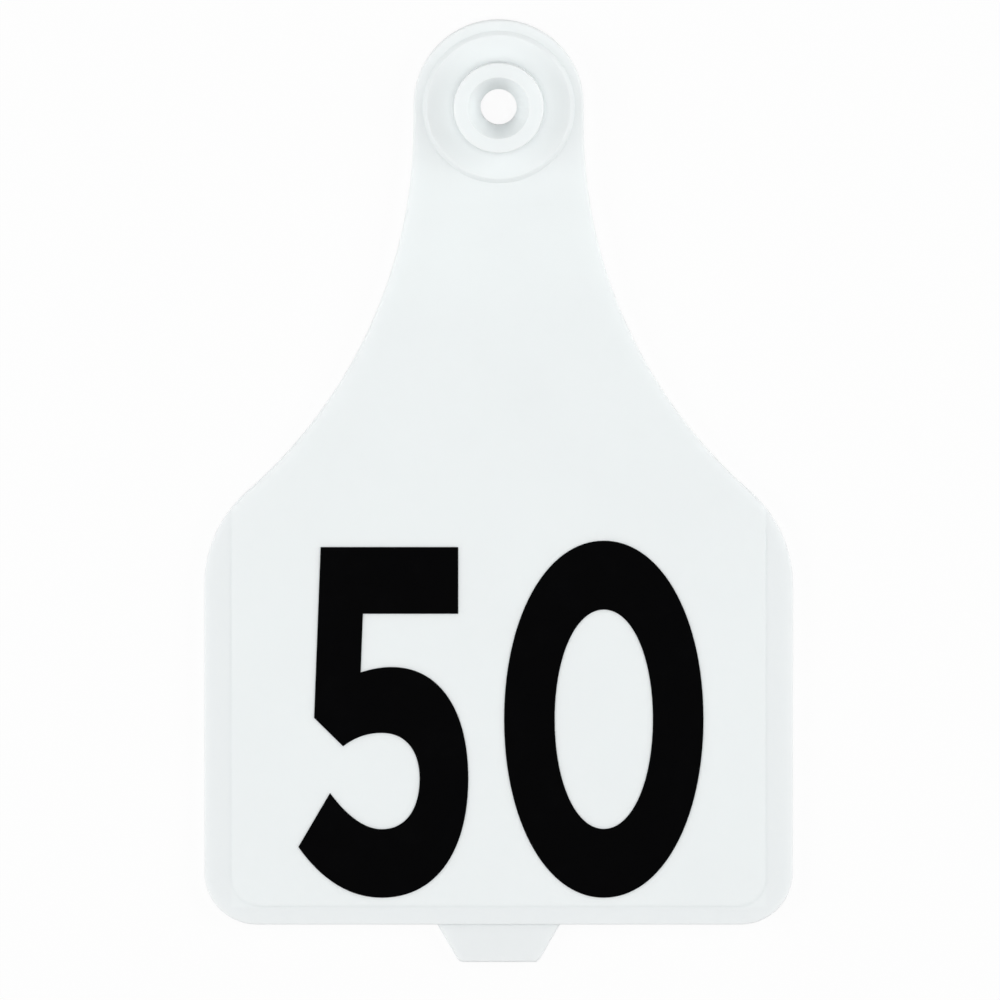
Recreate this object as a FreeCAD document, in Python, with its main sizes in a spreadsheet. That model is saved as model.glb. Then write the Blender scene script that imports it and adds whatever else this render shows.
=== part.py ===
import FreeCAD, Part

import math
import os

import Sketcher
from FreeCAD import Vector

# Livestock ear tag: a flexible panel moulded in one piece, with the number printed on it.
#
# Millimetres. The origin is on the axis of the stud hole, in the plane of the flat back.
# +Z comes out of the printed front, and +Y runs from the panel up to the head.
# A "drop" is a distance below the stud hole's axis, towards the foot of the panel.

DIMENSIONS = {
    "Outline": {
        "panel_width": 76.2,
        "panel_drop": 106.0,
        "head_radius": 11.0,
        "head_rise": 0.25,
        "neck_drop": 2.4,
        "flare_radius": 63.0,
        "shoulder_radius": 16.1,
        "corner_radius": 6.8,
    },
    "Section": {
        "neck_thickness": 1.9,
        "panel_thickness": 1.4,
        "taper_start_drop": 12.5,
        "taper_end_drop": 48.0,
        "front_edge_radius": 0.3,
        "back_edge_chamfer": 0.15,
        "margin_depth": 0.1,
        "side_margin": 3.6,
        "foot_margin": 2.4,
        "field_corner_radius": 3.6,
    },
    "Tab": {
        "tab_root_width": 15.9,
        "tab_tip_width": 10.2,
        "tab_height": 4.9,
        "tab_overlap": 1.0,
        "tab_thickness": 1.0,
        "tab_corner_radius": 0.9,
        "tab_edge_radius": 0.25,
        "tab_edge_chamfer": 0.12,
    },
    "Hub": {
        "disc_foot_radius": 9.85,
        "disc_radius": 9.3,
        "disc_top": 2.35,
        "disc_edge_radius": 0.3,
        "collar_foot_radius": 5.83,
        "collar_radius": 5.8,
        "collar_top": 5.2,
        "collar_root_radius": 0.08,
        "collar_edge_radius": 0.1,
        "hole_radius": 2.34,
        "countersink_radius": 3.97,
        "countersink_angle": 60.0,
        "hole_lead_in": 0.2,
    },
    "Number": {
        "baseline_drop": 102.5,
        "five_line": 15.13,
        "zero_line": 13.6,
        "print_thickness": 0.06,
        "figure_height": 45.5,
        "bar_depth": 8.65,
        "bar_left": 7.9,
        "bar_right": 9.9,
        "stem_width": 5.8,
        "stem_lean": 0.85,
        "stem_foot": 23.35,
        "stem_join_drop": 0.7,
        "notch_left": 5.0,
        "notch_height": 19.65,
        "notch_corner": 2.8,
        "bowl_height": 29.95,
        "bowl_crest": 1.3,
        "crest_corner": 0.65,
        "bowl_reach": 11.2,
        "bowl_middle": 15.5,
        "crown_depth": 8.55,
        "side_depth": 6.3,
        "foot_depth": 8.9,
        "tail_outer_left": 10.8,
        "tail_outer_height": 6.6,
        "tail_outer_corner": 6.2,
        "tail_inner_left": 6.7,
        "tail_inner_height": 13.6,
        "tail_inner_corner": 3.25,
        "bowl_fullness": 0.62,
        "end_fullness": 0.66,
        "zero_height": 46.33,
        "zero_width": 25.8,
        "counter_height": 28.45,
        "counter_width": 12.7,
        "zero_fullness": 0.575,
    },
}

START, END, CENTRE = 1, 2, 3
ORIGIN = (-1, START)
X_AXIS, Y_AXIS = -1, -2
UP = Vector(0, 0, 1)
CLOSE = 1e-4
PAST = 10.0  # how far a cutting profile runs past what it cuts


# ---- the dimension sheet ----

def make_sheet(doc):
    """One row to a dimension, under the name of the group it belongs to."""
    sheet = doc.addObject("Spreadsheet::Sheet", "Dimensions")
    row = 1
    for group, dimensions in DIMENSIONS.items():
        sheet.set(f"A{row}", group)
        for name, value in dimensions.items():
            row += 1
            sheet.set(f"A{row}", name)
            sheet.set(f"B{row}", str(value))
            sheet.setAlias(f"B{row}", name)
        row += 2
    doc.recompute()
    return sheet


def from_sheet(expression):
    """An expression on the sheet's dimensions, with the sheet named before each of them."""
    names = {name for group in DIMENSIONS.values() for name in group}
    words = expression.replace("(", "( ").replace(")", " )").split()
    return " ".join(f"Dimensions.{word}" if word in names else word for word in words)


def drive(thing, attribute, expression):
    thing.setExpression(attribute, from_sheet(expression))


# ---- sketches ----

def new_sketch(body, name, plane, height=None):
    """A sketch on one of the body's own planes, raised to a height that the sheet gives."""
    sketch = body.newObject("Sketcher::SketchObject", name)
    support = next(item for item in body.Origin.OriginFeatures if item.Role == plane)
    sketch.AttachmentSupport = (support, "")
    sketch.MapMode = "FlatFace"
    if height:
        drive(sketch, "AttachmentOffset.Base.z", height)
    return sketch


def dimension(sketch, kind, where, expression):
    """Add a dimension that the sheet drives."""
    value = sketch.evalExpression(from_sheet(expression))
    index = sketch.addConstraint(Sketcher.Constraint(kind, *where, value))
    drive(sketch, f"Constraints[{index}]", expression)


def place(sketch, edge, across, along):
    """Hold the start of an edge at a place that the sheet gives, on either side of the axes."""
    for kind, axis, expression in (("DistanceX", Y_AXIS, across), ("DistanceY", X_AXIS, along)):
        value = sketch.evalExpression(from_sheet(expression))
        if abs(value) < CLOSE:
            sketch.addConstraint(Sketcher.Constraint("PointOnObject", edge, START, axis))
        elif value > 0:
            dimension(sketch, kind, (*ORIGIN, edge, START), expression)
        else:
            dimension(sketch, kind, (edge, START, *ORIGIN), f"-1 * ( {expression} )")


def polygon(sketch, corners):
    """A closed run of lines through corners that the sheet places."""
    points = [
        Vector(*(sketch.evalExpression(from_sheet(expression)) for expression in corner), 0)
        for corner in corners
    ]
    edges = [
        sketch.addGeometry(Part.LineSegment(point, points[(index + 1) % len(points)]))
        for index, point in enumerate(points)
    ]
    for index, edge in enumerate(edges):
        join(sketch, edge, edges[(index + 1) % len(edges)])
    for edge, corner in zip(edges, corners):
        place(sketch, edge, *corner)


def join(sketch, first, second, smooth=False):
    """Join two edges where their ends meet, with a common tangent there if smooth."""
    for end in (START, END):
        for other in (START, END):
            gap = sketch.getPoint(first, end).distanceToPoint(sketch.getPoint(second, other))
            if gap < CLOSE:
                kind = "Tangent" if smooth else "Coincident"
                sketch.addConstraint(Sketcher.Constraint(kind, first, end, second, other))
                return
    raise ValueError(f"edges {first} and {second} do not meet")


def arc(sketch, centre, radius, start, end):
    """A round edge, from one angle in degrees anticlockwise to another."""
    circle = Part.Circle(centre, UP, radius)
    return sketch.addGeometry(Part.ArcOfCircle(circle, math.radians(start), math.radians(end)))


def line(sketch, start, end):
    return sketch.addGeometry(Part.LineSegment(start, end))


# ---- edges to round ----

def edges_where(feature, test):
    """Names of the feature's edges that pass a test."""
    edges = feature.Shape.Edges
    return [f"Edge{number}" for number, edge in enumerate(edges, start=1) if test(edge)]


def is_circle(radius, height):
    """A test for a level circle, or part of one, of a radius and at a height."""
    def test(edge):
        curve = edge.Curve
        return (
            isinstance(curve, Part.Circle)
            and abs(curve.Radius - radius) < CLOSE
            and abs(curve.Center.z - height) < CLOSE
            and math.hypot(curve.Center.x, curve.Center.y) < CLOSE
        )
    return test


def middle(edge):
    return edge.valueAt((edge.FirstParameter + edge.LastParameter) / 2)


def ease_edges(body, name, names, size, cut="Fillet"):
    """Round or chamfer the named edges of the body's last feature, by a size from the sheet."""
    base = body.Tip
    if not names:
        raise ValueError(f"{name} has no edges to ease")
    eased = body.newObject(f"PartDesign::{cut}", name)
    eased.Base = (base, names)
    drive(eased, "Radius" if cut == "Fillet" else "Size", size)
    body.Document.recompute()


# ---- the moulded tag ----

def add_panel(body, sheet):
    """Pad the right half of the outline and mirror it about the tag's centre line."""
    half_width = sheet.panel_width / 2
    head = sheet.head_radius
    flare = sheet.flare_radius
    shoulder = sheet.shoulder_radius
    corner = sheet.corner_radius
    neck_y = -sheet.neck_drop
    foot_y = -sheet.panel_drop
    between_centres = flare + shoulder
    lean = math.acos((head + flare + shoulder - half_width) / between_centres)
    shoulder_y = neck_y - between_centres * math.sin(lean)
    corner_y = foot_y + corner

    sketch = new_sketch(body, "half_outline", "XY_Plane")
    head_arc = arc(sketch, Vector(0, sheet.head_rise), head, 0, 90)
    neck_line = line(sketch, Vector(head, sheet.head_rise), Vector(head, neck_y))
    flare_arc = arc(sketch, Vector(head + flare, neck_y), flare, 180, 180 + math.degrees(lean))
    shoulder_centre = Vector(half_width - shoulder, shoulder_y)
    shoulder_arc = arc(sketch, shoulder_centre, shoulder, 0, math.degrees(lean))
    side_line = line(sketch, Vector(half_width, shoulder_y), Vector(half_width, corner_y))
    corner_arc = arc(sketch, Vector(half_width - corner, corner_y), corner, 270, 360)
    foot_line = line(sketch, Vector(half_width - corner, foot_y), Vector(0, foot_y))
    centre_line = line(sketch, Vector(0, foot_y), Vector(0, sheet.head_rise + head))

    run = [head_arc, neck_line, flare_arc, shoulder_arc, side_line, corner_arc, foot_line]
    for edge, following in zip(run, run[1:]):
        join(sketch, edge, following, smooth=True)
    join(sketch, foot_line, centre_line)
    join(sketch, centre_line, head_arc)
    for upright in (neck_line, side_line, centre_line):
        sketch.addConstraint(Sketcher.Constraint("Vertical", upright))
    sketch.addConstraint(Sketcher.Constraint("Horizontal", foot_line))
    sketch.addConstraint(Sketcher.Constraint("PointOnObject", head_arc, CENTRE, Y_AXIS))
    dimension(sketch, "DistanceY", (*ORIGIN, head_arc, CENTRE), "head_rise")
    sketch.addConstraint(Sketcher.Constraint("PointOnObject", centre_line, START, Y_AXIS))
    dimension(sketch, "Radius", (head_arc,), "head_radius")
    dimension(sketch, "Radius", (flare_arc,), "flare_radius")
    dimension(sketch, "Radius", (shoulder_arc,), "shoulder_radius")
    dimension(sketch, "Radius", (corner_arc,), "corner_radius")
    dimension(sketch, "DistanceX", (*ORIGIN, side_line, START), "panel_width / 2")
    dimension(sketch, "DistanceY", (neck_line, END, *ORIGIN), "neck_drop")
    dimension(sketch, "DistanceY", (foot_line, START, *ORIGIN), "panel_drop")

    pad = body.newObject("PartDesign::Pad", "half_panel")
    pad.Profile = sketch
    drive(pad, "Length", "neck_thickness")
    body.Document.recompute()

    mirror = body.newObject("PartDesign::Mirrored", "whole_panel")
    mirror.Originals = [pad]
    centre_plane = next(item for item in body.Origin.OriginFeatures if item.Role == "YZ_Plane")
    mirror.MirrorPlane = (centre_plane, [""])
    mirror.Refine = True
    body.Tip = mirror
    body.Document.recompute()


def add_taper(body, sheet):
    """Thin the front in one smooth sweep from the neck to the panel, with the back left flat."""
    start_y = -sheet.taper_start_drop
    end_y = -sheet.taper_end_drop
    high = sheet.neck_thickness
    low = sheet.panel_thickness
    run = (start_y - end_y) / 2
    fall = (high - low) / 2
    radius = (run**2 + fall**2) / (2 * fall)
    turn = math.degrees(math.asin(run / radius))
    beyond = -sheet.panel_drop - PAST
    above = high + PAST

    sketch = new_sketch(body, "taper_profile", "YZ_Plane")
    crest = arc(sketch, Vector(start_y, high - radius), radius, 90, 90 + turn)
    hollow = arc(sketch, Vector(end_y, low + radius), radius, 270, 270 + turn)
    level_line = line(sketch, Vector(end_y, low), Vector(beyond, low))
    far_line = line(sketch, Vector(beyond, low), Vector(beyond, above))
    top_line = line(sketch, Vector(beyond, above), Vector(start_y, above))
    near_line = line(sketch, Vector(start_y, above), Vector(start_y, high))
    join(sketch, crest, hollow, smooth=True)
    join(sketch, hollow, level_line, smooth=True)
    for edge, following in ((level_line, far_line), (far_line, top_line), (top_line, near_line)):
        join(sketch, edge, following)
    join(sketch, near_line, crest)
    sketch.addConstraint(Sketcher.Constraint("Equal", crest, hollow))
    sketch.addConstraint(Sketcher.Constraint("Vertical", crest, START, crest, CENTRE))
    for upright in (far_line, near_line):
        sketch.addConstraint(Sketcher.Constraint("Vertical", upright))
    for level in (level_line, top_line):
        sketch.addConstraint(Sketcher.Constraint("Horizontal", level))
    dimension(sketch, "DistanceX", (crest, START, *ORIGIN), "taper_start_drop")
    dimension(sketch, "DistanceX", (hollow, START, *ORIGIN), "taper_end_drop")
    dimension(sketch, "DistanceX", (far_line, START, *ORIGIN), f"panel_drop + {PAST}")
    dimension(sketch, "DistanceY", (*ORIGIN, crest, START), "neck_thickness")
    dimension(sketch, "DistanceY", (*ORIGIN, hollow, START), "panel_thickness")
    dimension(sketch, "DistanceY", (*ORIGIN, top_line, START), f"neck_thickness + {PAST}")

    pocket = body.newObject("PartDesign::Pocket", "front_taper")
    pocket.Profile = sketch
    pocket.Midplane = True
    drive(pocket, "Length", f"panel_width + {PAST}")
    body.Document.recompute()


def add_eased_rim(body, sheet):
    """Round the front edge all the way round the outline, and break the back edge."""
    def on_rim(edge):
        point = middle(edge)
        level = abs(edge.firstVertex().Point.z - edge.lastVertex().Point.z)
        upright = level > edge.Length / 2
        within = abs(point.x) < CLOSE and -sheet.panel_drop + CLOSE < point.y < 0
        return not upright and not within

    def at_front(edge):
        return on_rim(edge) and middle(edge).z > CLOSE

    def at_back(edge):
        return on_rim(edge) and middle(edge).z < CLOSE

    ease_edges(body, "front_rim", edges_where(body.Tip, at_front), "front_edge_radius")
    ease_edges(body, "back_rim", edges_where(body.Tip, at_back), "back_edge_chamfer", "Chamfer")


def add_margin(body, sheet):
    """Step the front down a little along both sides and the foot, around the marking field."""
    sketch = new_sketch(body, "margin_outline", "XY_Plane", "panel_thickness")
    field_side = "( panel_width / 2 - side_margin )"
    field_foot = "-1 * ( panel_drop - foot_margin )"
    far_side = f"( panel_width / 2 + {PAST} )"
    far_foot = f"-1 * ( panel_drop + {PAST} )"
    top = "-1 * taper_end_drop"
    polygon(sketch, [
        (f"-1 * {field_side}", top),
        (f"-1 * {field_side}", field_foot),
        (field_side, field_foot),
        (field_side, top),
        (far_side, top),
        (far_side, far_foot),
        (f"-1 * {far_side}", far_foot),
        (f"-1 * {far_side}", top),
    ])
    pocket = body.newObject("PartDesign::Pocket", "margin_step")
    pocket.Profile = sketch
    drive(pocket, "Length", "margin_depth")
    body.Document.recompute()

    corner_x = sheet.panel_width / 2 - sheet.side_margin
    corner_y = -sheet.panel_drop + sheet.foot_margin

    def on_corner(edge):
        point = middle(edge)
        return math.hypot(abs(point.x) - corner_x, point.y - corner_y) < CLOSE

    ease_edges(body, "field_corners", edges_where(body.Tip, on_corner), "field_corner_radius")


def add_tab(body, sheet):
    """A thinner tapered tab below the middle of the foot."""
    sketch = new_sketch(body, "tab_outline", "XY_Plane")
    flank = "( ( tab_root_width - tab_tip_width ) / 2 / tab_height )"
    root = f"( tab_root_width / 2 + tab_overlap * {flank} )"
    tip = "( tab_tip_width / 2 )"
    inner_y = "-1 * ( panel_drop - tab_overlap )"
    tip_y = "-1 * ( panel_drop + tab_height )"
    polygon(sketch, [
        (root, inner_y),
        (f"-1 * {root}", inner_y),
        (f"-1 * {tip}", tip_y),
        (tip, tip_y),
    ])
    pad = body.newObject("PartDesign::Pad", "tab_pad")
    pad.Profile = sketch
    drive(pad, "Length", "tab_thickness")
    body.Document.recompute()

    foot_y = -sheet.panel_drop
    end_y = foot_y - sheet.tab_height

    def is_corner(edge):
        point = middle(edge)
        return abs(point.y - end_y) < CLOSE and abs(abs(point.x) - sheet.tab_tip_width / 2) < CLOSE

    def at_level(height):
        return lambda edge: abs(middle(edge).z - height) < CLOSE and middle(edge).y < foot_y - CLOSE

    ease_edges(body, "tab_corners", edges_where(body.Tip, is_corner), "tab_corner_radius")
    front = edges_where(body.Tip, at_level(sheet.tab_thickness))
    ease_edges(body, "tab_front_rim", front, "tab_edge_radius")
    back = edges_where(body.Tip, at_level(0))
    ease_edges(body, "tab_back_rim", back, "tab_edge_chamfer", "Chamfer")


def add_hub(body, sheet):
    """Raise the hub about the stud hole: a low disc with a sloped edge and a collar on it."""
    sketch = new_sketch(body, "hub_profile", "XZ_Plane")
    polygon(sketch, [
        ("0", "panel_thickness / 2"),
        ("disc_foot_radius", "panel_thickness / 2"),
        ("disc_foot_radius", "neck_thickness"),
        ("disc_radius", "disc_top"),
        ("collar_foot_radius", "disc_top"),
        ("collar_radius", "collar_top"),
        ("0", "collar_top"),
    ])
    turned = body.newObject("PartDesign::Revolution", "hub")
    turned.Profile = sketch
    turned.ReferenceAxis = (sketch, ["V_Axis"])
    body.Document.recompute()

    disc_edge = is_circle(sheet.disc_radius, sheet.disc_top)
    collar_root = is_circle(sheet.collar_foot_radius, sheet.disc_top)
    collar_edge = is_circle(sheet.collar_radius, sheet.collar_top)
    ease_edges(body, "disc_edge", edges_where(body.Tip, disc_edge), "disc_edge_radius")
    ease_edges(body, "collar_root", edges_where(body.Tip, collar_root), "collar_root_radius")
    ease_edges(body, "collar_edge", edges_where(body.Tip, collar_edge), "collar_edge_radius")


def add_stud_hole(body, sheet):
    """A countersunk hole through the hub, eased where the stud enters at the back."""
    sketch = new_sketch(body, "stud_hole_centre", "XY_Plane", "collar_top")
    circle = sketch.addGeometry(Part.Circle(Vector(0, 0), UP, sheet.hole_radius))
    sketch.addConstraint(Sketcher.Constraint("Coincident", circle, CENTRE, *ORIGIN))
    dimension(sketch, "Radius", (circle,), "hole_radius")
    body.Document.recompute()

    hole = body.newObject("PartDesign::Hole", "stud_hole")
    hole.Profile = sketch
    hole.Threaded = False
    hole.DepthType = "ThroughAll"
    hole.HoleCutType = "Countersink"
    hole.HoleCutCustomValues = True
    drive(hole, "Diameter", "2 * hole_radius")
    drive(hole, "HoleCutDiameter", "2 * countersink_radius")
    drive(hole, "HoleCutCountersinkAngle", "countersink_angle")
    body.Document.recompute()

    back_mouth = is_circle(sheet.hole_radius, 0)
    ease_edges(body, "lead_in", edges_where(body.Tip, back_mouth), "hole_lead_in", "Chamfer")


def make_tag(doc, sheet):
    body = doc.addObject("PartDesign::Body", "ear_tag")
    body.Label = "ear_tag"
    add_panel(body, sheet)
    add_taper(body, sheet)
    add_eased_rim(body, sheet)
    add_margin(body, sheet)
    add_tab(body, sheet)
    add_hub(body, sheet)
    add_stud_hole(body, sheet)
    return body


# ---- the printed number ----

class Pen:
    """Draws a closed outline, edge by edge, on the plane of a figure."""

    def __init__(self, x, y):
        self.start = Vector(x, y)
        self.at = self.start
        self.edges = []

    def line(self, x, y):
        end = Vector(x, y)
        self.edges.append(Part.LineSegment(self.at, end).toShape())
        self.at = end

    def curve(self, corner, end, fullness):
        """Turn to end inside the corner where the two end tangents cross."""
        corner = Vector(*corner)
        end = Vector(*end)
        bezier = Part.BezierCurve()
        leave = self.at + (corner - self.at) * fullness
        arrive = end + (corner - end) * fullness
        bezier.setPoles([self.at, leave, arrive, end])
        self.edges.append(bezier.toShape())
        self.at = end

    def wire(self):
        if self.at.distanceToPoint(self.start) > CLOSE:
            self.line(self.start.x, self.start.y)
        return Part.Wire(self.edges)


def figure_five(sheet):
    """The figure 5, about the centre line of its bowl and its baseline."""
    bar_top = sheet.figure_height
    bar_foot = bar_top - sheet.bar_depth
    bowl_top = sheet.bowl_height
    counter_top = bowl_top - sheet.crown_depth
    counter_foot = sheet.foot_depth
    counter_reach = sheet.bowl_reach - sheet.side_depth
    stem_slope = sheet.stem_lean / (bar_top - sheet.stem_foot)
    stem_right_top = -sheet.bar_left + sheet.stem_width - stem_slope * sheet.bar_depth
    stem_meets_bowl = bowl_top - sheet.stem_join_drop
    stem_right_foot = stem_right_top - stem_slope * (bar_foot - stem_meets_bowl)
    outer_tip = (-sheet.tail_outer_left, sheet.tail_outer_height)
    side = (sheet.bowl_reach, sheet.bowl_middle)
    counter_side = (counter_reach, sheet.bowl_middle)
    crest = (sheet.bowl_crest, bowl_top)
    notch = (-sheet.notch_left, sheet.notch_height)
    bowl = sheet.bowl_fullness
    end = sheet.end_fullness

    pen = Pen(-sheet.bar_left, bar_top)
    pen.line(sheet.bar_right, bar_top)
    pen.line(sheet.bar_right, bar_foot)
    pen.line(stem_right_top, bar_foot)
    pen.line(stem_right_foot, stem_meets_bowl)
    pen.curve((-sheet.crest_corner, bowl_top), crest, end)
    pen.curve((sheet.bowl_reach, bowl_top), side, bowl)
    pen.curve((sheet.bowl_reach, 0), (0, 0), bowl)
    pen.curve((-sheet.tail_outer_corner, 0), outer_tip, end)
    pen.line(-sheet.tail_inner_left, sheet.tail_inner_height)
    pen.curve((-sheet.tail_inner_corner, counter_foot), (0, counter_foot), end)
    pen.curve((counter_reach, counter_foot), counter_side, bowl)
    pen.curve((counter_reach, counter_top), (0, counter_top), bowl)
    pen.curve((-sheet.notch_corner, counter_top), notch, end)
    pen.line(-sheet.bar_left - sheet.stem_lean, sheet.stem_foot)
    return Part.Face(pen.wire())


def oval(width, height, middle_y, fullness):
    """A slightly squared oval about the figure's centre line."""
    side = width / 2
    top = middle_y + height / 2
    foot = middle_y - height / 2
    pen = Pen(side, middle_y)
    pen.curve((side, top), (0, top), fullness)
    pen.curve((-side, top), (-side, middle_y), fullness)
    pen.curve((-side, foot), (0, foot), fullness)
    pen.curve((side, foot), (side, middle_y), fullness)
    return pen.wire()


def figure_zero(sheet):
    """The figure 0, about its centre line and the baseline."""
    middle_y = sheet.zero_height / 2
    full = sheet.zero_fullness
    outer = oval(sheet.zero_width, sheet.zero_height, middle_y, full)
    counter = oval(sheet.counter_width, sheet.counter_height, middle_y, full)
    return Part.Face(outer).cut(Part.Face(counter)).Faces[0]


def make_number(doc, sheet):
    """The two figures of the number, as a thin layer of ink on the front face."""
    five = figure_five(sheet)
    zero = figure_zero(sheet)
    five.translate(Vector(-sheet.five_line, -sheet.baseline_drop))
    zero.translate(Vector(sheet.zero_line, -sheet.baseline_drop))
    outline = doc.addObject("Part::Feature", "number_outline")
    outline.Shape = Part.makeCompound([five, zero])

    ink = doc.addObject("Part::Extrusion", "number_print")
    ink.Label = "number_print"
    ink.Base = outline
    ink.DirMode = "Custom"
    ink.Dir = UP
    ink.Solid = True
    drive(ink, "LengthFwd", "print_thickness")
    drive(ink, "Placement.Base.z", "panel_thickness")
    return ink


# ---- build and write ----

def check(doc, parts):
    """Stop if anything in the document failed, or a part's shape is not sound."""
    for item in doc.Objects:
        if "Invalid" in item.State or "Error" in item.State:
            raise RuntimeError(f"{item.Label} failed: {item.State}")
    for part in parts:
        if part.Shape.isNull() or not part.Shape.isValid():
            raise RuntimeError(f"{part.Label} has no sound shape")


def main():
    doc = FreeCAD.newDocument("livestock_ear_tag")
    sheet = make_sheet(doc)
    parts = [make_tag(doc, sheet), make_number(doc, sheet)]
    doc.recompute()
    check(doc, parts)
    os.makedirs("parts", exist_ok=True)
    for part in parts:
        part.Shape.exportStep(f"parts/{part.Label}.step")
        print(f"{part.Label}: {len(part.Shape.Solids)} solid(s), {part.Shape.Volume:.1f} mm3")


main()
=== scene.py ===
import math

import bpy
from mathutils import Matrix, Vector


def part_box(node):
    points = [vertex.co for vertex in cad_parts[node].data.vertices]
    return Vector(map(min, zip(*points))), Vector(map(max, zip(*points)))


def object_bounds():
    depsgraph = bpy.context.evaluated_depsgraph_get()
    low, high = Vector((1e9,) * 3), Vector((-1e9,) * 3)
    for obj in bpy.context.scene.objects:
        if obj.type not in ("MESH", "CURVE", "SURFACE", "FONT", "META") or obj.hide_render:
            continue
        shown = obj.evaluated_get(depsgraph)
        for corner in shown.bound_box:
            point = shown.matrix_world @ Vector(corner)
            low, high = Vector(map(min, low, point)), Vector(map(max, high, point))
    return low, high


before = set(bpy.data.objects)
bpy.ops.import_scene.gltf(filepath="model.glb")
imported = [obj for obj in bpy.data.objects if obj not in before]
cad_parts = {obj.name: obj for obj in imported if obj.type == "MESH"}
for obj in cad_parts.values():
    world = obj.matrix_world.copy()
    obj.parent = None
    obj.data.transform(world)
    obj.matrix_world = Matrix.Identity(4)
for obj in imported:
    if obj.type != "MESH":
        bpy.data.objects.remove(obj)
CAD_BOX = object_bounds()

# A livestock ear tag, lying face up on a pale floor, with a soft light at each side and one overhead.
# Metres, in the row frame: +Z comes out of the printed front, +Y runs up to the head,
# and the origin is on the stud hole's axis at the back face.

MM = 0.001

# ---- places on the tag, in millimetres ----

PANEL_HALF_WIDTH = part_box("ear_tag")[1].x / MM
TAB_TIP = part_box("ear_tag")[0].y / MM
TAB_HEIGHT = 4.9
PANEL_FOOT = TAB_TIP + TAB_HEIGHT
SIDE_MARGIN = 3.6
FOOT_MARGIN = 2.4
MARGIN_SHADE_BLEND = (-0.1, 0.3)       # where the painted margin shade starts and ends, past its step
NECK_START = (-30.0, -18.0)      # the heights over which the painted light on the neck comes in
NECK_END = (-9.0, -6.0)          # the heights over which it goes again, below the hub

# ---- colours, linear ----

TAG_WHITE = (0.853, 0.889, 0.892, 1.0)
# grey of the painted shade on the margin, also the darker tone of the random cloud
MARGIN_SHADE_AND_CLOUD_GREY = (0.832, 0.862, 0.868, 1.0)
# paler white of the painted light on the neck
NECK_PAINTED_LIGHT_WHITE = (0.880, 0.926, 0.926, 1.0)
INK_BLACK = (0.0006, 0.0006, 0.0008, 1.0)
INK_GREY = (0.0014, 0.0014, 0.0017, 1.0)
FLOOR_WHITE = (0.86, 0.86, 0.86, 1.0)
FLOOR_GLOW = 0.90
WHITE = (1.0, 1.0, 1.0, 1.0)

# ---- the grain that both finishes share ----

GRAIN_PER_MM = 3.2
GRAIN_DETAIL = 3.0
GRAIN_ROUGHNESS = 0.6
BUMP_DISTANCE = 0.02 * MM

# ---- the plastic ----

PAINTED_NECK_LIGHT_SHARE = 0.6
CLOUD_PER_MM = 0.05
CLOUD_DETAIL = 3.0
CLOUD_RANGE = (0.35, 0.75)
CLOUD_SHARE = 0.35
SWELL_PER_MM = 0.35
GRAIN_HEIGHT = 0.7
SWELL_HEIGHT = 0.5
PLASTIC_BUMP = 0.12
PLASTIC_ROUGHNESS = 0.50
GRAIN_ROUGHENING = 0.08
CLOUD_ROUGHENING = 0.06
PLASTIC_IOR = 1.5
PLASTIC_GLOSS = 0.3
SCATTER_SHARE = 0.6
SCATTER_COLOUR = (1.0, 1.0, 1.0)
SCATTER_DEPTH = 1.2 * MM

# ---- the ink ----

BLOTCH_PER_MM = 0.25
BLOTCH_DETAIL = 4.0
BLOTCH_ROUGHNESS = 0.6
BLOTCH_RANGE = (0.45, 0.8)
BLOTCH_SHARE = 0.5
INK_BUMP = 0.15
INK_ROUGHNESS = 0.5
INK_ROUGHENING = 0.1
INK_GLOSS = 0.02

# ---- the studio: metres, watts and degrees ----

FILL_LEVEL = 0.35
FLOOR_SIZE = 12.0
FLOOR_GAP = 0.02 * MM

SIDE_DISTANCE = 0.75
SIDE_SIZE = (0.70, 0.35)
SIDE_LIFT = 24.0
LEFT_BEARING = 180.0
LEFT_POWER = 2.4
RIGHT_BEARING = 12.0
RIGHT_POWER = 2.5

OVERHEAD_DISTANCE = 1.0
OVERHEAD_SIZE = (0.60, 0.60)
OVERHEAD_LIFT = 90.0
OVERHEAD_BEARING = 0.0
OVERHEAD_POWER = 3.9

LENS = 800.0
SENSOR = 36.0
VIEW_TILT = 3.8
FRAME_WIDTH = 129.3 * MM
AIM = Vector((0.17, -50.9, 1.4)) * MM
CLIP_REACH = 10      # how far the camera sees, in its own distances from the tag

# ---- the Mix node's colour sockets, which share their names with others ----

MIX_SHARE = 0
MIX_FIRST = 6
MIX_SECOND = 7
MIX_RESULT = 2


# ---- shader maths ----

class Value:
    """One output of a node, with the arithmetic that adds Math nodes to it."""

    def __init__(self, finish, socket):
        self.finish = finish
        self.socket = socket

    def combine(self, operation, first, second):
        return self.finish.node("Math", {0: first, 1: second}, operation=operation)

    def __add__(self, other):
        return self.combine("ADD", self, other)

    __radd__ = __add__

    def __sub__(self, other):
        return self.combine("SUBTRACT", self, other)

    def __rsub__(self, other):
        return self.combine("SUBTRACT", other, self)

    def __mul__(self, other):
        return self.combine("MULTIPLY", self, other)

    __rmul__ = __mul__

    def __abs__(self):
        return self.combine("ABSOLUTE", self, 0.0)

    def or_more(self, other):
        return self.combine("MAXIMUM", self, other)

    def rising(self, start, end):
        """0 below start and 1 above end, smoothly in between."""
        return self.finish.node(
            "MapRange", {"Value": self, "From Min": start, "From Max": end},
            interpolation_type="SMOOTHSTEP",
        )


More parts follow.
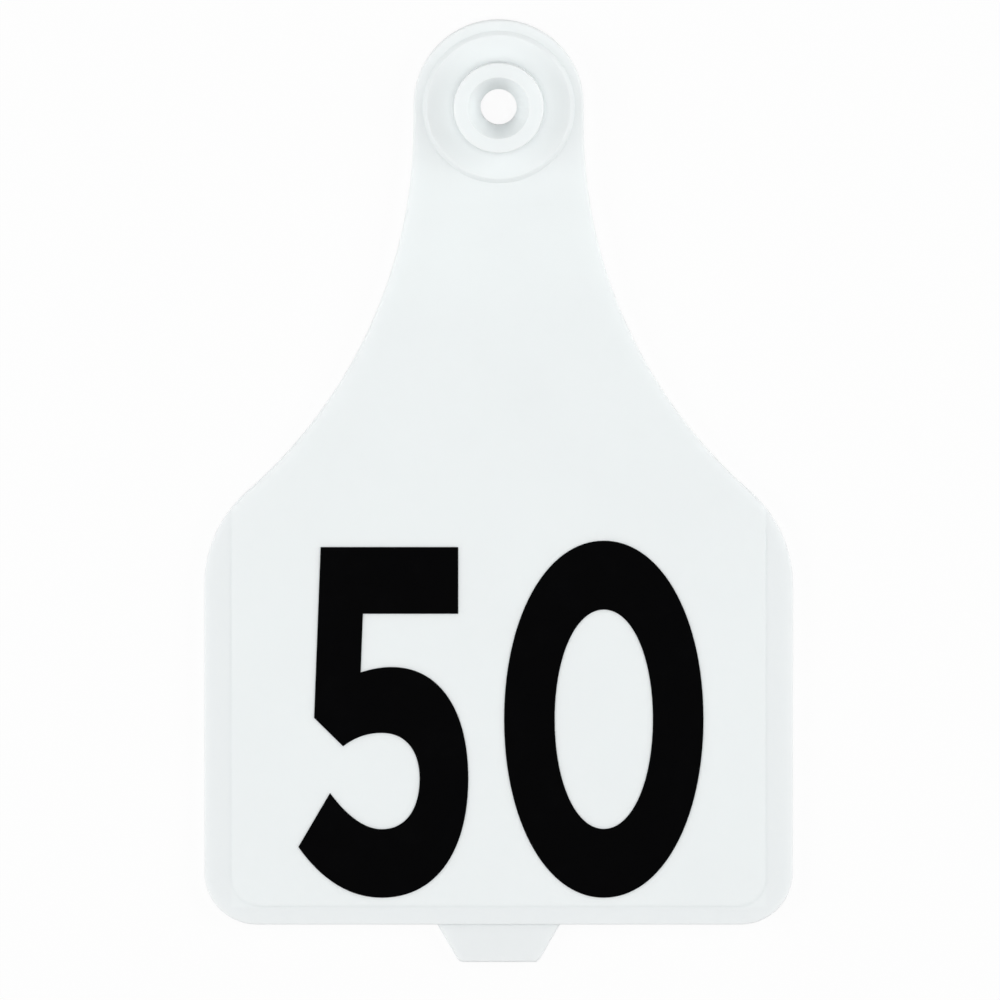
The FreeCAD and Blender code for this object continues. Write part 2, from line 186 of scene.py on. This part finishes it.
class Finish:
    """The nodes of one material, or of the world."""

    def __init__(self, owner, output="OutputMaterial"):
        owner.use_nodes = True
        self.owner = owner
        self.output = output
        self.tree = owner.node_tree
        self.tree.nodes.clear()

    def node(self, kind, inputs=None, output=0, **settings):
        """Add a node: its settings first, then the values or links of its sockets."""
        made = self.tree.nodes.new("ShaderNode" + kind)
        for name, value in settings.items():
            setattr(made, name, value)
        for key, value in (inputs or {}).items():
            if isinstance(value, Value):
                self.tree.links.new(value.socket, made.inputs[key])
            else:
                made.inputs[key].default_value = value
        return Value(self, made.outputs[output])

    def place(self):
        """Where a point is on the tag, in millimetres."""
        point = self.node("TexCoord", output="Object")
        return self.node("VectorMath", {0: point, "Scale": 1 / MM}, operation="SCALE")

    def along(self, point, axis):
        """How far a point lies along one axis."""
        return self.node("SeparateXYZ", {0: point}, output=axis)

    def noise(self, point, per_mm, detail=2.0, roughness=0.5):
        return self.node(
            "TexNoise",
            {"Vector": point, "Scale": per_mm, "Detail": detail, "Roughness": roughness},
        )

    def grain(self, point):
        """The fine grain that the blasted mould leaves, which the ink follows."""
        return self.noise(point, GRAIN_PER_MM, GRAIN_DETAIL, GRAIN_ROUGHNESS)

    def bump(self, strength, height):
        return self.node(
            "Bump", {"Strength": strength, "Distance": BUMP_DISTANCE, "Height": height}
        )

    def blend(self, share, first, second):
        """Mix two colours by a share."""
        return self.node(
            "Mix", {MIX_SHARE: share, MIX_FIRST: first, MIX_SECOND: second},
            output=MIX_RESULT, data_type="RGBA",
        )

    def surface(self, shader):
        output = self.tree.nodes.new("ShaderNode" + self.output)
        self.tree.links.new(shader.socket, output.inputs["Surface"])
        return self.owner


# ---- finishes ----

def moulded_plastic():
    """White flexible polyurethane, as it comes from a finely blasted mould."""
    finish = Finish(bpy.data.materials.new("tag_plastic"))
    point = finish.place()
    across = finish.along(point, "X")
    up = finish.along(point, "Y")

    # Painted shade: the margin along the sides and foot is darkened in the base colour.
    beyond_side = abs(across) - (PANEL_HALF_WIDTH - SIDE_MARGIN)
    beyond_foot = (PANEL_FOOT + FOOT_MARGIN) - up
    painted_margin_shade = beyond_side.or_more(beyond_foot).rising(*MARGIN_SHADE_BLEND)
    # Painted light: the neck below the hub is made paler in the base colour.
    painted_neck_light = up.rising(*NECK_START) * (1 - up.rising(*NECK_END))
    cloud = finish.noise(point, CLOUD_PER_MM, CLOUD_DETAIL)
    colour = finish.blend(painted_margin_shade, TAG_WHITE, MARGIN_SHADE_AND_CLOUD_GREY)
    colour = finish.blend(painted_neck_light * PAINTED_NECK_LIGHT_SHARE, colour, NECK_PAINTED_LIGHT_WHITE)
    colour = finish.blend(cloud.rising(*CLOUD_RANGE) * CLOUD_SHARE, colour, MARGIN_SHADE_AND_CLOUD_GREY)

    grain = finish.grain(point)
    swell = finish.noise(point, SWELL_PER_MM)
    height = grain * GRAIN_HEIGHT + swell * SWELL_HEIGHT

    return finish.surface(finish.node("BsdfPrincipled", {
        "Base Color": colour,
        "Roughness": PLASTIC_ROUGHNESS + grain * GRAIN_ROUGHENING + cloud * CLOUD_ROUGHENING,
        "Normal": finish.bump(PLASTIC_BUMP, height),
        "IOR": PLASTIC_IOR,
        "Specular IOR Level": PLASTIC_GLOSS,
        "Subsurface Weight": SCATTER_SHARE,
        "Subsurface Radius": SCATTER_COLOUR,
        "Subsurface Scale": SCATTER_DEPTH,
    }))


def marking_ink():
    """Dense black marking ink, a little uneven where it has soaked in."""
    finish = Finish(bpy.data.materials.new("marking_ink"))
    point = finish.place()
    blotch = finish.noise(point, BLOTCH_PER_MM, BLOTCH_DETAIL, BLOTCH_ROUGHNESS)
    grain = finish.grain(point)
    return finish.surface(finish.node("BsdfPrincipled", {
        "Base Color": finish.blend(
            blotch.rising(*BLOTCH_RANGE) * BLOTCH_SHARE, INK_BLACK, INK_GREY
        ),
        "Roughness": INK_ROUGHNESS + grain * INK_ROUGHENING,
        "Normal": finish.bump(INK_BUMP, grain),
        "Specular IOR Level": INK_GLOSS,
    }))


def pale_floor():
    """A white sweep: bright to the eye of the camera, and still shaded by the tag."""
    finish = Finish(bpy.data.materials.new("studio_floor"))
    seen = finish.node("LightPath", output="Is Camera Ray")
    mirrored = finish.node("LightPath", output="Is Glossy Ray")
    through = finish.node("LightPath", output="Is Transmission Ray")
    showing = seen.or_more(mirrored).or_more(through)
    painted = finish.node("BsdfDiffuse", {"Color": FLOOR_WHITE})
    bright = finish.node("Emission", {"Color": WHITE, "Strength": 1.0})
    return finish.surface(
        finish.node("MixShader", {0: showing * FLOOR_GLOW, 1: painted, 2: bright})
    )


def light_world():
    """Even fill light, seen as white."""
    world = bpy.data.worlds.new("studio")
    finish = Finish(world, "OutputWorld")
    fill = finish.node("Background", {"Color": WHITE, "Strength": FILL_LEVEL})
    white = finish.node("Background", {"Color": WHITE, "Strength": 1.0})
    seen = finish.node("LightPath", output="Is Camera Ray")
    finish.surface(finish.node("MixShader", {0: seen, 1: fill, 2: white}))
    bpy.context.scene.world = world


# ---- studio ----

def lay_floor(material):
    half = FLOOR_SIZE / 2
    level = CAD_BOX[0].z - FLOOR_GAP
    corners = [(-half, -half), (half, -half), (half, half), (-half, half)]
    mesh = bpy.data.meshes.new("studio_floor")
    mesh.from_pydata([(x, y, level) for x, y in corners], [], [(0, 1, 2, 3)])
    mesh.materials.append(material)
    floor = bpy.data.objects.new("studio_floor", mesh)
    bpy.context.scene.collection.objects.link(floor)


def hang_softbox(name, size, distance, lift, bearing, power, in_gloss=False):
    """A soft light aimed at the middle of the tag, from a lift and a bearing in degrees.

    It shows in the gloss of the tag only if in_gloss is true.
    """
    lamp = bpy.data.lights.new(name, "AREA")
    lamp.shape = "RECTANGLE"
    lamp.size = size[0]
    lamp.size_y = size[1]
    lamp.energy = power
    rise = math.radians(lift)
    turn = math.radians(bearing)
    level = Vector((math.cos(turn), math.sin(turn), 0)) * math.cos(rise)
    away = level + Vector((0, 0, math.sin(rise)))
    box = bpy.data.objects.new(name, lamp)
    box.location = AIM + away * distance
    box.rotation_euler = (-away).to_track_quat("-Z", "Y").to_euler()
    box.visible_camera = False
    box.visible_glossy = in_gloss
    bpy.context.scene.collection.objects.link(box)


def set_camera():
    """A long lens nearly square to the front, leaning a little towards the head."""
    data = bpy.data.cameras.new("camera")
    data.lens = LENS
    data.sensor_width = SENSOR
    distance = FRAME_WIDTH * LENS / SENSOR
    data.clip_end = CLIP_REACH * distance
    lean = math.radians(VIEW_TILT)
    camera = bpy.data.objects.new("camera", data)
    camera.location = AIM + Vector((0, math.sin(lean), math.cos(lean))) * distance
    camera.rotation_euler = (-lean, 0, 0)
    bpy.context.scene.collection.objects.link(camera)
    bpy.context.scene.camera = camera


def paint(node, material):
    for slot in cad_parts[node].material_slots:
        slot.material = material


paint("ear_tag", moulded_plastic())
paint("number_print", marking_ink())
lay_floor(pale_floor())
light_world()
hang_softbox("left_softbox", SIDE_SIZE, SIDE_DISTANCE, SIDE_LIFT, LEFT_BEARING, LEFT_POWER)
hang_softbox("right_softbox", SIDE_SIZE, SIDE_DISTANCE, SIDE_LIFT, RIGHT_BEARING, RIGHT_POWER)
hang_softbox("overhead_softbox", OVERHEAD_SIZE, OVERHEAD_DISTANCE, OVERHEAD_LIFT,
             OVERHEAD_BEARING, OVERHEAD_POWER, in_gloss=True)
set_camera()
bpy.context.scene.view_settings.view_transform = "Standard"
